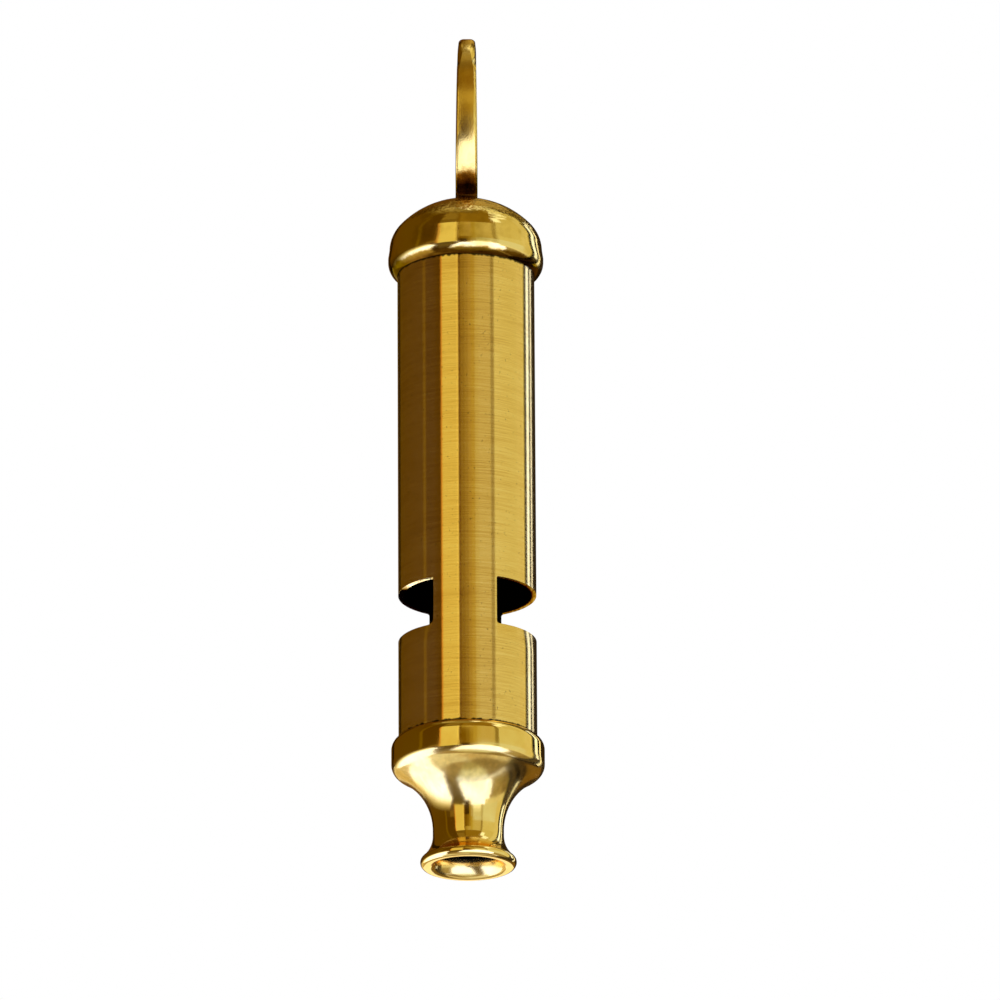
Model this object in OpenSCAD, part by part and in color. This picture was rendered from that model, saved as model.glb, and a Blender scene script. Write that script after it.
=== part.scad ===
// Survival whistle: a round two-note pocket whistle of brass, standing on its lip.
// The origin is the centre of the lip's lowest plane, and +Z runs up the barrel to the loop.
// The two sound windows look along +X and -X, and the lanyard loop lies in the Y-Z plane.

/* [Barrel] */
// Outside diameter of the barrel tube
barrel_od = 13.5; // [12.5:0.1:15.5]
// Wall of the barrel tube
barrel_wall = 0.5; // [0.45:0.05:0.8]
// Length of the barrel tube
barrel_len = 54.1; // [45:0.1:65]

/* [Sound windows] */
// Lower edge of the windows above the barrel's lower end
window_rise = 12.5; // [10:0.1:15]
// Height of the windows
window_h = 4.8; // [4:0.05:6]
// Width of the bridges that join the barrel past the windows
bridge_w = 6.65; // [5.5:0.05:8]
// Radius in the lower inner corners of a window
window_fillet_low = 0.4; // [0.2:0.05:1]
// Radius in the upper inner corners of a window
window_fillet_top = 0.2; // [0.1:0.05:1]

/* [Wind way and chambers] */
// Thickness of the plate that parts the two chambers
divider_t = 0.6; // [0.4:0.05:1]
// How far the divider plate reaches below the blocks
divider_drop = 0.9; // [0:0.1:1.2]
// Height of the blocks' feet above the barrel's lower end
block_inset = 1.7; // [1.3:0.1:4]
// Depth of each wind way, between its block's flat and the barrel
windway_depth = 0.95; // [0.6:0.05:1.4]
// Height of the slope that leads the breath into a wind way
lead_h = 2.4; // [1:0.1:4]
// How far that slope cuts into its block
lead_depth = 1.6; // [0.5:0.1:2.5]
// Depth of the low note's stop below the barrel's upper end
low_stop_inset = 4.5; // [1:0.1:8]
// How much lower the high note's stop lies
note_step = 4; // [1.5:0.1:8]
// Thickness of the two chamber stops
stop_t = 0.8; // [0.5:0.1:1.4]

/* [Mouthpiece] */
// Outside diameter of the rolled lip
lip_od = 9.35; // [8.6:0.1:10.5]
// Thickness of the rolled lip
lip_roll = 1.1; // [1:0.05:2]
// Height on the throat's wall at which the lip begins to widen it
lip_lead = 2; // [1.6:0.1:2.4]
// Outside diameter of the neck
neck_od = 6.9; // [6:0.05:7.6]
// Wall of the neck and the flare
neck_wall = 0.575; // [0.4:0.025:0.8]
// Radius of the hollow between the lip and the neck
neck_hollow_r = 3; // [2:0.1:3.2]
// Height of the lower end of the flare
flare_z = 3.75; // [3.7:0.05:4.5]
// Radius of the flare between the neck and the shoulder
flare_r = 6.4; // [5:0.1:7]
// Radius of the shoulder between the flare and the skirt
shoulder_r = 1.25; // [1.2:0.01:2]
// Depth of the socket that holds the barrel
mouth_grip = 2.5; // [1.8:0.1:3.5]
// Wall of the mouthpiece's skirt round the barrel
skirt_wall = 0.68; // [0.6:0.02:0.9]
// Radius on the skirt's upper edge
skirt_edge_r = 0.6; // [0.1:0.05:0.6]

/* [Cap] */
// How far the cap reaches down over the barrel
cap_grip = 3.6; // [2.6:0.1:4]
// Wall of the cap's side and dome
cap_wall = 0.74; // [0.6:0.02:0.9]
// Rise of the inside of the dome above the barrel's upper end
dome_rise = 3.5; // [2.8:0.05:4.4]
// Radius of the corner between the cap's side and its dome
cap_corner_r = 2; // [1:0.1:2]
// How far the cap's rolled rim stands proud of its side
cap_rim_proud = 0.13; // [0.05:0.01:0.3]
// Radius of the rolled rim
cap_rim_r = 0.88; // [0.5:0.02:0.88]
// Height of the rolled rim
cap_rim_h = 1.8; // [0.9:0.1:1.8]

/* [Lanyard loop] */
// Height of the loop above the dome
loop_h = 17; // [14:0.1:22]
// Outside breadth of the loop
loop_breadth = 11.4; // [9.6:0.1:14]
// Radius of the loop's two ends
loop_end_r = 4.4; // [3.8:0.1:5]
// Thickness of the loop's strip
loop_t = 1.25; // [0.9:0.05:1.5]
// Width of the strip at the top of the loop
loop_w_top = 1.75; // [1.4:0.05:2.2]
// Width of the strip at the foot of the loop
loop_w_foot = 2.15; // [1.8:0.05:2.6]
// Radius on the top of the loop, across the strip
loop_crown_r = 0.5; // [0.1:0.05:0.6]
// Height of the loop's foot between the dome and the oval
foot_h = 0.45; // [0.4:0.05:1]
// Radius in the bend between the foot and the oval
foot_bend_r = 0.8; // [0.5:0.1:1]
// Slit between the two ends of the strip
loop_slit = 0.08; // [0.04:0.01:0.2]
// How far the two tangs reach below the inside of the dome
tang_len = 1.3; // [0.6:0.1:2]
// How far the solder spreads on the dome past the foot
solder_spread = 0.3; // [0.2:0.05:0.6]
// Height of the solder above the dome
solder_h = 0.4; // [0.2:0.05:0.45]

/* [Fits] */
// Gap that the solder fills between pieces that go into each other
fit_gap = 0.03; // [0.01:0.01:0.05]

/* [Hidden] */
$fn = 60;
// Steps along each arc of a turned profile
arc_steps = 8;
// Overrun of every cut
over = 1;

// Radii of the barrel and of what goes into it and over it
barrel_r = barrel_od / 2;
bore_r = barrel_r - barrel_wall;
insert_r = bore_r - fit_gap;
socket_r = barrel_r + fit_gap;
skirt_r = socket_r + skirt_wall;

// Turned profile of the mouthpiece: each arc runs on smoothly into the next
neck_r = neck_od / 2;
throat_r = neck_r - neck_wall;
roll_r = lip_roll / 2;
roll_x = lip_od / 2 - roll_r;
lead_x = roll_x - throat_r;
lead_z = lip_lead - roll_r;
lead_turn = atan2(lead_z, -lead_x) + acos(roll_r / norm([lead_x, lead_z])) - 360;
hollow_x = neck_r + neck_hollow_r;
hollow_z = roll_r + sqrt(pow(neck_hollow_r + roll_r, 2) - pow(hollow_x - roll_x, 2));
hollow_turn = atan2(hollow_z - roll_r, hollow_x - roll_x);
flare_x = neck_r + flare_r;
shoulder_x = skirt_r - shoulder_r;
flare_turn = acos((flare_x - shoulder_x) / (flare_r + shoulder_r));
shoulder_z = flare_z + (flare_r + shoulder_r) * sin(flare_turn);
inner_flare_r = flare_r + neck_wall;
inner_turn = acos((flare_x - bore_r) / inner_flare_r);

// Heights of the barrel and of what is in it
barrel_z = shoulder_z;
mouth_h = barrel_z + mouth_grip;
barrel_top = barrel_z + barrel_len;
window_z = barrel_z + window_rise;
block_z = barrel_z + block_inset;
block_len = window_z - block_z;
block_x = divider_t / 2 + fit_gap;
block_flat = bore_r - windway_depth;
divider_z = block_z - divider_drop;
low_stop_z = barrel_top - low_stop_inset - stop_t;
high_stop_z = low_stop_z - note_step;
divider_h = low_stop_z + stop_t - divider_z;

// Turned profile of the cap, whose dome rests on the barrel's upper end
cap_z = barrel_top - cap_grip;
dome_inner_r = (pow(socket_r, 2) + pow(dome_rise, 2)) / (2 * dome_rise);
dome_inner_turn = acos(socket_r / dome_inner_r);
dome_r = dome_inner_r + cap_wall;
dome_z = barrel_top + dome_rise - dome_inner_r;
dome_top = dome_z + dome_r;
cap_side_r = socket_r + cap_wall;
cap_rim_x = cap_side_r + cap_rim_proud;
corner_x = cap_side_r - cap_corner_r;
corner_z = dome_z + sqrt(pow(dome_r - cap_corner_r, 2) - pow(corner_x, 2));
corner_turn = atan2(corner_z - dome_z, corner_x);

// Outline of the loop: an oval of two end arcs and two side arcs over a short foot
loop_top = dome_top + loop_h;
oval_half_h = (loop_h - foot_h) / 2;
oval_mid_z = loop_top - oval_half_h;
end_rise = oval_half_h - loop_end_r;
half_breadth = loop_breadth / 2;
side_r = (pow(half_breadth, 2) + pow(end_rise, 2) - pow(loop_end_r, 2)) / (2 * (half_breadth - loop_end_r));
side_turn = atan2(end_rise, side_r - half_breadth);
tang_z = dome_top - cap_wall - tang_len;
bend_x = loop_t + foot_bend_r;
bend_z = oval_mid_z - end_rise - sqrt(pow(loop_end_r + foot_bend_r, 2) - pow(bend_x, 2));
bend_turn = atan2(oval_mid_z - end_rise - bend_z, bend_x);
solder_r = norm([loop_w_foot / 2, loop_t]) + solder_spread;

// Points along an arc, in the plane of a profile; skip leaves out that many at each end
function arc(centre, r, from, to, steps = arc_steps, skip = 0) =
    [for (i = [skip:steps - skip])
        let (a = from + (to - from) * i / steps)
            centre + r * [cos(a), sin(a)]];

// The turned mouthpiece: rolled lip, throat, neck, flare, shoulder and the socket's skirt
module mouthpiece() {
    outside = concat(
        arc([roll_x, roll_r], roll_r, lead_turn, hollow_turn, 2 * arc_steps),
        arc([hollow_x, hollow_z], neck_hollow_r, 180 + hollow_turn, 180),
        arc([flare_x, flare_z], flare_r, 180, 180 - flare_turn),
        arc([shoulder_x, shoulder_z], shoulder_r, -flare_turn, 0),
        arc([skirt_r - skirt_edge_r, mouth_h - skirt_edge_r], skirt_edge_r, 0, 90)
    );
    inside = concat(
        [[socket_r, mouth_h], [socket_r, barrel_z], [bore_r, barrel_z]],
        arc([flare_x, flare_z], inner_flare_r, 180 - inner_turn, 180),
        [[throat_r, lip_lead]]
    );
    color("gold")
        rotate_extrude()
            polygon(concat(outside, inside));
}

// One window's outline, seen along Y: square outside, with round corners at the bridge
module window_outline() {
    reach = barrel_r + over;
    translate([bridge_w / 2 + window_fillet_low, window_z])
        square([reach - window_fillet_low, window_fillet_low]);
    translate([bridge_w / 2, window_z + window_fillet_low])
        square([reach, window_h - window_fillet_low - window_fillet_top]);
    translate([bridge_w / 2 + window_fillet_top, window_z + window_h - window_fillet_top])
        square([reach - window_fillet_top, window_fillet_top]);
    translate([bridge_w / 2 + window_fillet_low, window_z + window_fillet_low])
        circle(window_fillet_low);
    translate([bridge_w / 2 + window_fillet_top, window_z + window_h - window_fillet_top])
        circle(window_fillet_top);
}

// The barrel: a thin tube with a window sawn into each side
module barrel() {
    color("goldenrod")
        difference() {
            translate([0, 0, barrel_z])
                cylinder(r = barrel_r, h = barrel_len);
            translate([0, 0, barrel_z - over])
                cylinder(r = bore_r, h = barrel_len + 2 * over);
            for (side = [0, 1])
                mirror([side, 0, 0])
                    rotate([90, 0, 0])
                        linear_extrude(barrel_od + 2 * over, center = true)
                            window_outline();
        }
}

// A block seen along Y: its flat makes the wind way, and its foot slopes to lead the breath in
module block_outline() {
    polygon([
        [block_x, block_z],
        [block_flat - lead_depth, block_z],
        [block_flat, block_z + lead_h],
        [block_flat, window_z],
        [block_x, window_z]
    ]);
}

// The block on the +X side of the divider plate
module windway_block() {
    color("darkgoldenrod")
        intersection() {
            translate([0, 0, block_z - over])
                cylinder(r = insert_r, h = block_len + 2 * over);
            rotate([90, 0, 0])
                linear_extrude(barrel_od, center = true)
                    block_outline();
        }
}

module right_windway_block() {
    windway_block();
}

module left_windway_block() {
    mirror([1, 0, 0])
        windway_block();
}

// The plate down the middle of the barrel, which parts the two chambers
module divider_plate() {
    color("khaki")
        intersection() {
            translate([0, 0, divider_z])
                cylinder(r = insert_r, h = divider_h);
            translate([-divider_t / 2, -barrel_r, divider_z - over])
                cube([divider_t, barrel_od, divider_h + 2 * over]);
        }
}

// The half disc that closes the chamber on the +X side at height z
module chamber_stop(z) {
    color("peru")
        intersection() {
            translate([0, 0, z])
                cylinder(r = insert_r, h = stop_t);
            translate([block_x, -barrel_r, z - over])
                cube([barrel_r, barrel_od, stop_t + 2 * over]);
        }
}

module low_note_stop() {
    chamber_stop(low_stop_z);
}

module high_note_stop() {
    mirror([1, 0, 0])
        chamber_stop(high_stop_z);
}

// The outside of the cap as one solid, with its rolled rim, side, corner and dome
module cap_outside() {
    rotate_extrude()
        polygon(concat(
            [[0, cap_z]],
            arc([cap_rim_x - cap_rim_r, cap_z + cap_rim_r], cap_rim_r, -90, 0),
            [[cap_rim_x, cap_z + cap_rim_h]],
            arc([corner_x, corner_z], cap_corner_r, 0, corner_turn),
            arc([0, dome_z], dome_r, corner_turn, 90)
        ));
}

// The hollow of the cap: the barrel's socket under the inside of the dome
module cap_inside() {
    rotate_extrude()
        polygon(concat(
            [[0, cap_z - over], [socket_r, cap_z - over]],
            arc([0, dome_z], dome_inner_r, dome_inner_turn, 90)
        ));
}

// The drawn cap, with a slot in the top of its dome for the loop's tangs
module top_cap() {
    slot_x = loop_w_foot + 2 * fit_gap;
    slot_y = 2 * (loop_t + fit_gap);
    color("gold")
        difference() {
            cap_outside();
            cap_inside();
            translate([-slot_x / 2, -slot_y / 2, dome_top - cap_wall - over])
                cube([slot_x, slot_y, cap_wall + 2 * over]);
        }
}

// An oval in the loop's plane, drawn in by inset from the loop's outside
module oval(inset) {
    end_steps = 2 * arc_steps;
    translate([0, oval_mid_z])
        polygon(concat(
            arc([half_breadth - side_r, 0], side_r - inset, -side_turn, side_turn),
            arc([0, end_rise], loop_end_r - inset, side_turn, 180 - side_turn, end_steps, 1),
            arc([side_r - half_breadth, 0], side_r - inset, 180 - side_turn, 180 + side_turn),
            arc([0, -end_rise], loop_end_r - inset, 180 + side_turn, 360 - side_turn, end_steps, 1)
        ));
}

// The foot: both ends of the strip bend down out of the oval and go through the dome as tangs
module foot_outline() {
    polygon(concat(
        [[-loop_t, tang_z], [loop_t, tang_z]],
        arc([bend_x, bend_z], foot_bend_r, 180, 180 - bend_turn),
        arc([-bend_x, bend_z], foot_bend_r, bend_turn, 0)
    ));
}

// The strip seen edge on: wider at its foot, and rounded over at its top
module strip_outline() {
    crown_x = loop_w_top / 2 - loop_crown_r;
    crown_z = loop_top - loop_crown_r;
    polygon(concat(
        [[-loop_w_foot / 2, tang_z - over], [loop_w_foot / 2, tang_z - over], [loop_w_foot / 2, dome_top]],
        arc([crown_x, crown_z], loop_crown_r, 0, 90),
        arc([-crown_x, crown_z], loop_crown_r, 90, 180),
        [[-loop_w_foot / 2, dome_top]]
    ));
}

// The lanyard loop: one flat strip bent to an oval, its ends side by side in the cap's slot
module lanyard_loop() {
    color("gold")
        intersection() {
            rotate([90, 0, 90])
                linear_extrude(2 * loop_w_foot, center = true)
                    difference() {
                        union() {
                            oval(0);
                            foot_outline();
                        }
                        oval(loop_t);
                        translate([-loop_slit / 2, tang_z - over])
                            square([loop_slit, oval_mid_z - tang_z]);
                    }
            rotate([90, 0, 0])
                linear_extrude(2 * loop_breadth, center = true)
                    strip_outline();
        }
}

// The solder that holds the loop: a low ring in the corner between the dome and the foot
module loop_solder() {
    solder_top = dome_top + solder_h;
    color("wheat")
        difference() {
            rotate_extrude()
                polygon([
                    [0, dome_top - solder_h],
                    [solder_r, dome_top - solder_h],
                    [solder_r - solder_h, solder_top],
                    [0, solder_top]
                ]);
            cap_outside();
            rotate([90, 0, 90])
                linear_extrude(loop_w_foot, center = true)
                    union() {
                        foot_outline();
                        oval(0);
                    }
        }
}

mouthpiece();
barrel();
right_windway_block();
left_windway_block();
divider_plate();
low_note_stop();
high_note_stop();
top_cap();
lanyard_loop();
loop_solder();
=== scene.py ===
# %% [markdown]
# # A brass pocket whistle
# The whistle is a thin brass tube with two side windows, a turned mouthpiece soldered to its lower
# end, a pressed cap on its upper end and a flat strip bent into a lanyard loop.
# This lesson loads the measured model, makes finer pieces over the ones that show, and gives each
# piece the finish that the metal has in the photograph.

# %% Load the measured model
import math
import bmesh
import bpy
from mathutils import Matrix, Quaternion, Vector


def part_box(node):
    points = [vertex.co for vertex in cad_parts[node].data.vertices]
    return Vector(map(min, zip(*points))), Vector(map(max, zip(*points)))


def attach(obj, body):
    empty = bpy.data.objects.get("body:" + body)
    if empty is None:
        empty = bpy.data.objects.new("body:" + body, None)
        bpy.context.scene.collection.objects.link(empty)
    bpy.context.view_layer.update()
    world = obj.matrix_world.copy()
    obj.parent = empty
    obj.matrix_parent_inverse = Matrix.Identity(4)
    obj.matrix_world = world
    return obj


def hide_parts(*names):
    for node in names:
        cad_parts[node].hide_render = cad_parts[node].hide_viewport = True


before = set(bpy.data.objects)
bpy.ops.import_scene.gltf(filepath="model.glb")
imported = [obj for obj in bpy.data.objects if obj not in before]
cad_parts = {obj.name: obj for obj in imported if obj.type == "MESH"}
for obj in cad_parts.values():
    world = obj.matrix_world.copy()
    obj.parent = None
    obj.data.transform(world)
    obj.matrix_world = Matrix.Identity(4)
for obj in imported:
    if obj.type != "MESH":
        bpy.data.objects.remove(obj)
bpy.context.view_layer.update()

# %% [markdown]
# ## Units and the pen
# Sizes are easier to read in millimetres, so one value turns them into Blender's metres.
# A turned piece is drawn as a lathe hand would draw it, half a section beside the axis.
# The outline could be a long list of points, but a pen that walks in lines and arcs says the same
# thing in the sizes that a drawing has: each arc is one vertex, spun about the arc's centre.

# %% A pen for half sections
MM = 0.001


def pen_down(x, z):
    """A new mesh with one vertex, beside the axis at height z."""
    bm = bmesh.new()
    return bm, bm.verts.new((x * MM, 0, z * MM))


def pen_line(bm, tip, x, z):
    """Draws straight on to a point and returns the new tip."""
    new = bmesh.ops.extrude_vert_indiv(bm, verts=[tip])["verts"][0]
    new.co = (x * MM, 0, z * MM)
    return new


def only(kind, geom):
    """The members of one kind, such as the points in a mixed list."""
    return [g for g in geom if isinstance(g, kind)]


def pen_arc(bm, tip, x, z, degrees, steps):
    """Draws an arc about a centre, against the clock when degrees is positive."""
    made = bmesh.ops.spin(
        bm, geom=[tip], cent=(x * MM, 0, z * MM), axis=(0, -1, 0),
        angle=math.radians(degrees), steps=steps, use_merge=False)
    return only(bmesh.types.BMVert, made["geom_last"])[0]


print("the pen draws at", MM, "metres to the millimetre")

# %% [markdown]
# ## From a section to a turned piece
# The lathe itself is one full spin about the upright axis. It merges its last copy with its first,
# and points that lie on the axis are merged into one pole.
# The faces are shaded smooth, and an edge where two faces meet at a clear angle is marked sharp,
# so that a lip stays round and a cut stays crisp. Two small distances, in metres, say when drawn
# points are the same one and when points of a cut mesh lie on the same place.

# %% The lathe, and a way to finish a mesh
ROUND_STEPS = 160
SHARP = math.radians(32)
SAME = 1e-7
NEAR = 1e-6


def lathe(bm, steps=ROUND_STEPS):
    """Spins the drawn section once round the axis and closes it."""
    bmesh.ops.remove_doubles(bm, verts=bm.verts, dist=SAME)
    bmesh.ops.spin(
        bm, geom=bm.verts[:] + bm.edges[:], cent=(0, 0, 0), axis=(0, 0, 1),
        angle=math.tau, steps=steps, use_merge=True)
    bmesh.ops.remove_doubles(bm, verts=bm.verts, dist=SAME)
    bmesh.ops.recalc_face_normals(bm, faces=bm.faces)


def turn(bm, verts, degrees, axis, centre=(0, 0, 0)):
    """Turns points about the X, Y or Z axis through a centre."""
    matrix = Matrix.Rotation(math.radians(degrees), 3, axis)
    bmesh.ops.rotate(bm, cent=centre, matrix=matrix, verts=verts)


def finish_shading(bm):
    """Smooth faces, with the clear edges kept sharp."""
    for face in bm.faces:
        face.smooth = True
    for edge in bm.edges:
        edge.smooth = edge.calc_face_angle(0) < SHARP


def to_object(bm, name):
    """Turns a finished bmesh into an object at the origin."""
    finish_shading(bm)
    mesh = bpy.data.meshes.new(name)
    bm.to_mesh(mesh)
    bm.free()
    piece = bpy.data.objects.new(name, mesh)
    bpy.context.scene.collection.objects.link(piece)
    print(name, len(mesh.polygons), "faces")
    return piece


def stands_for(piece, node):
    """The new piece takes a measured node's place on the whistle."""
    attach(piece, "root")
    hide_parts(node)


# %% [markdown]
# ## The mouthpiece
# On the real whistle this is one turned piece: a rolled lip for the teeth, a narrow throat, a flare
# like a small bell and a skirt that takes the tube. It could be a cylinder with loops scaled by
# hand, but its curves run into each other without a step, and only arcs with shared tangents do
# that. Wear has rounded the way into the throat to a small funnel: a wide arc leads out of the
# throat and a tighter one turns on to the lip. The heights come from the measured piece, so the
# new one seats where the old one did.

# %% Read the heights of the measured pieces
mouth_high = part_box("mouthpiece")[1]
tube_low, tube_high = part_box("barrel")
cap_low, cap_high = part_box("top_cap")
SKIRT_TOP = mouth_high[2] / MM
SEAT = tube_low[2] / MM
TUBE_TOP = tube_high[2] / MM
TUBE_R = tube_high[0] / MM
WALL = 0.5
GAP = 0.03
socket_r = TUBE_R + GAP
bore_r = TUBE_R - WALL
print("skirt ends at %.2f, tube from %.2f to %.2f mm" % (SKIRT_TOP, SEAT, TUBE_TOP))

# %% The funnel, the lip and the hollow over it
LIP_R = 0.55
LIP_X = 4.125
FUNNEL_R = 0.9
LEAD_R = 2.2
LEAD_TURN = 35
NECK_R = 3.45
NECK_WALL = 0.575
HOLLOW_R = 3.0
throat_r = NECK_R - NECK_WALL
hollow_x = NECK_R + HOLLOW_R
hollow_z = LIP_R + math.sqrt((HOLLOW_R + LIP_R) ** 2 - (hollow_x - LIP_X) ** 2)
hollow_turn = math.degrees(math.atan2(hollow_z - LIP_R, hollow_x - LIP_X))

lead = math.radians(LEAD_TURN)
funnel_x = throat_r + LEAD_R - (LEAD_R - FUNNEL_R) * math.cos(lead)
funnel_z = FUNNEL_R + (LEAD_R - FUNNEL_R) * math.sin(lead)

bm, tip = pen_down(throat_r, funnel_z)
tip = pen_arc(bm, tip, throat_r + LEAD_R, funnel_z, LEAD_TURN, 10)
tip = pen_arc(bm, tip, funnel_x, FUNNEL_R, 90 - LEAD_TURN, 14)
tip = pen_line(bm, tip, LIP_X, 0)
tip = pen_arc(bm, tip, LIP_X, LIP_R, 90 + hollow_turn, 26)
tip = pen_arc(bm, tip, hollow_x, hollow_z, -hollow_turn, 14)
print("the lip turns through %.0f degrees" % (90 + hollow_turn))

# %% The flare, the shoulder and the skirt
FLARE_Z = 3.75
FLARE_R = 6.4
SHOULDER_R = 1.25
SKIRT_R = 7.46
SKIRT_EDGE = 1.15


def edge_angle(outer, inner, radius):
    """How far an edge's arc turns from the outer wall before it meets the inner one."""
    return math.degrees(math.acos((inner - outer + radius) / radius))


flare_x = NECK_R + FLARE_R
flare_turn = math.degrees(math.acos((flare_x - SKIRT_R + SHOULDER_R) / (FLARE_R + SHOULDER_R)))
tip = pen_line(bm, tip, NECK_R, FLARE_Z)
tip = pen_arc(bm, tip, flare_x, FLARE_Z, -flare_turn, 30)
tip = pen_arc(bm, tip, SKIRT_R - SHOULDER_R, SEAT, flare_turn, 14)
edge_turn = edge_angle(SKIRT_R, socket_r, SKIRT_EDGE)
edge_z = SKIRT_TOP - SKIRT_EDGE * math.sin(math.radians(edge_turn))
tip = pen_line(bm, tip, SKIRT_R, edge_z)
tip = pen_arc(bm, tip, SKIRT_R - SKIRT_EDGE, edge_z, edge_turn, 14)
print("the flare turns through %.1f degrees" % flare_turn)

# %% Back down the inside, and onto the lathe
inner_r = FLARE_R + NECK_WALL
inner_turn = math.degrees(math.acos((flare_x - bore_r) / inner_r))
tip = pen_line(bm, tip, socket_r, SEAT)
tip = pen_line(bm, tip, bore_r, SEAT)
tip = pen_line(bm, tip, bore_r, FLARE_Z + inner_r * math.sin(math.radians(inner_turn)))
tip = pen_arc(bm, tip, flare_x, FLARE_Z, inner_turn, 20)
tip = pen_line(bm, tip, throat_r, funnel_z)
lathe(bm)
mouthpiece = to_object(bm, "turned_mouthpiece")
stands_for(mouthpiece, "mouthpiece")

# %% [markdown]
# ## The barrel and its two windows
# The barrel is drawn tube, and each window is one saw cut from the side that leaves a bridge at
# the front and the back. The cutter is a block whose two inner edges are rounded with a bevel, as
# a cutting wheel leaves them, and a Boolean takes it out of the tube. The exact solver keeps the
# tube's own points, so the satin reflections stay straight right up to the cut. The two cuts were
# made by hand and differ a little: the left one is shallower, leans more and has a rounder corner.

# %% The tube, in rows from its seat to its top
TUBE_ROWS = 25
TUBE_STEPS = 192
bm, tip = pen_down(bore_r, SEAT)
tip = pen_line(bm, tip, TUBE_R, SEAT)
for row in range(1, TUBE_ROWS + 1):
    tip = pen_line(bm, tip, TUBE_R, SEAT + (TUBE_TOP - SEAT) * row / TUBE_ROWS)
tip = pen_line(bm, tip, bore_r, TUBE_TOP)
tip = pen_line(bm, tip, bore_r, SEAT)
lathe(bm, TUBE_STEPS)
barrel = to_object(bm, "drawn_barrel")

# %% A cutter with rounded inner edges
WINDOW_LOW = SEAT + 12.5
WINDOW_H = 4.8
WINDOW_TOP = WINDOW_LOW + WINDOW_H
TOP_CORNER = 0.2
CUT_DEPTH = 6
CUT_LENGTH = 20


def window_cutter(side, bridge_half, toe, low_corner):
    """The block that one window's saw takes out, on the side of +1 or -1."""
    cut = bmesh.new()
    middle_x = (bridge_half + CUT_DEPTH / 2) * MM
    bmesh.ops.create_cube(cut, size=1)
    bmesh.ops.scale(cut, vec=(CUT_DEPTH * MM, CUT_LENGTH * MM, WINDOW_H * MM), verts=cut.verts)
    bmesh.ops.translate(
        cut, vec=(side * middle_x, 0, (WINDOW_LOW + WINDOW_H / 2) * MM), verts=cut.verts)
    for at, radius in ((WINDOW_LOW, low_corner), (WINDOW_TOP, TOP_CORNER)):
        inner = [e for e in cut.edges if all(
            abs(v.co.x) < middle_x and abs(v.co.z - at * MM) < NEAR for v in e.verts)]
        bmesh.ops.bevel(cut, geom=inner, offset=radius * MM, segments=8, profile=0.5,
                        affect="EDGES", material=-1)
    turn(cut, cut.verts, -side * toe, "Z", centre=(side * bridge_half * MM, 0, 0))
    return to_object(cut, "cutter")


def take_out(piece, cutter):
    """Cuts one object out of another and throws the cutter away."""
    cut = piece.modifiers.new("cut", "BOOLEAN")
    cut.operation = "DIFFERENCE"
    cut.solver = "EXACT"
    cut.object = cutter
    bpy.context.view_layer.update()
    graph = bpy.context.evaluated_depsgraph_get()
    done = bpy.data.meshes.new_from_object(piece.evaluated_get(graph))
    piece.modifiers.clear()
    piece.data = done
    bpy.data.objects.remove(cutter)


# %% Saw both windows
take_out(barrel, window_cutter(1, bridge_half=3.105, toe=1.6, low_corner=0.25))
take_out(barrel, window_cutter(-1, bridge_half=3.515, toe=2.9, low_corner=0.6))

# %% [markdown]
# A saw leaves a sharp burr, which is eased with a fine file all round each window. The edges to
# ease are those on the outside of the tube where a sawn face meets the round one. The sawn faces
# are those that reach from the bore well into the wall, away from the tube's turned ends. They get
# the second material slot, because they stay rougher than the tube's turned outside.

# %% Ease the outer edges and mark the sawn faces
EASE = 0.15
SLACK = 0.1
END_MARGIN = 1
bm = bmesh.new()
bm.from_mesh(barrel.data)
bmesh.ops.remove_doubles(bm, verts=bm.verts, dist=NEAR)


def on_outside(v):
    """Whether a point lies on the tube's outside, within the windows' height."""
    within = WINDOW_LOW - SLACK < v.co.z / MM < WINDOW_TOP + SLACK
    return within and math.hypot(v.co.x, v.co.y) > (TUBE_R - SLACK) * MM


def is_sawn(face):
    """Whether a face reaches from the bore into the wall, away from the tube's ends."""
    radii = [math.hypot(v.co.x, v.co.y) / MM for v in face.verts]
    middle = face.calc_center_median().z / MM
    in_wall = min(radii) < bore_r + SLACK < max(radii)
    return in_wall and SEAT + END_MARGIN < middle < TUBE_TOP - END_MARGIN


rims = [e for e in bm.edges
        if all(on_outside(v) for v in e.verts) and e.calc_face_angle(0) > SHARP]
bmesh.ops.bevel(bm, geom=rims, offset=EASE * MM, segments=3, profile=0.5, affect="EDGES",
                material=-1, clamp_overlap=True)
for face in bm.faces:
    if is_sawn(face):
        face.material_index = 1
finish_shading(bm)
bm.to_mesh(barrel.data)
bm.free()
stands_for(barrel, "barrel")
print("barrel has", len(barrel.data.polygons), "faces after the cuts")

# %% [markdown]
# ## The cap
# The cap is pressed from sheet: a rolled rim, a short side that leans in a little, a rounded corner
# and a dome. It is drawn and turned like the mouthpiece. A slot is then cut in the crown, because
# the loop's two ends go through it.

# %% The cap's section
CAP_Z = cap_low[2] / MM
CAP_TOP = cap_high[2] / MM
CAP_WALL = 0.74
RIM_R = 1.65
RIM_H = 1.8
CORNER_R = 3.2
cap_side = socket_r + CAP_WALL
rim_x = cap_high[0] / MM
DOME_RISE = 3.5
dome_in = (socket_r ** 2 + DOME_RISE ** 2) / (2 * DOME_RISE)
dome_out = dome_in + CAP_WALL
dome_z = CAP_TOP - dome_out
corner_z = dome_z + math.sqrt((dome_out - CORNER_R) ** 2 - (cap_side - CORNER_R) ** 2)
corner_turn = math.degrees(math.atan2(corner_z - dome_z, cap_side - CORNER_R))
inner_edge = math.degrees(math.acos(socket_r / dome_in))

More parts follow.
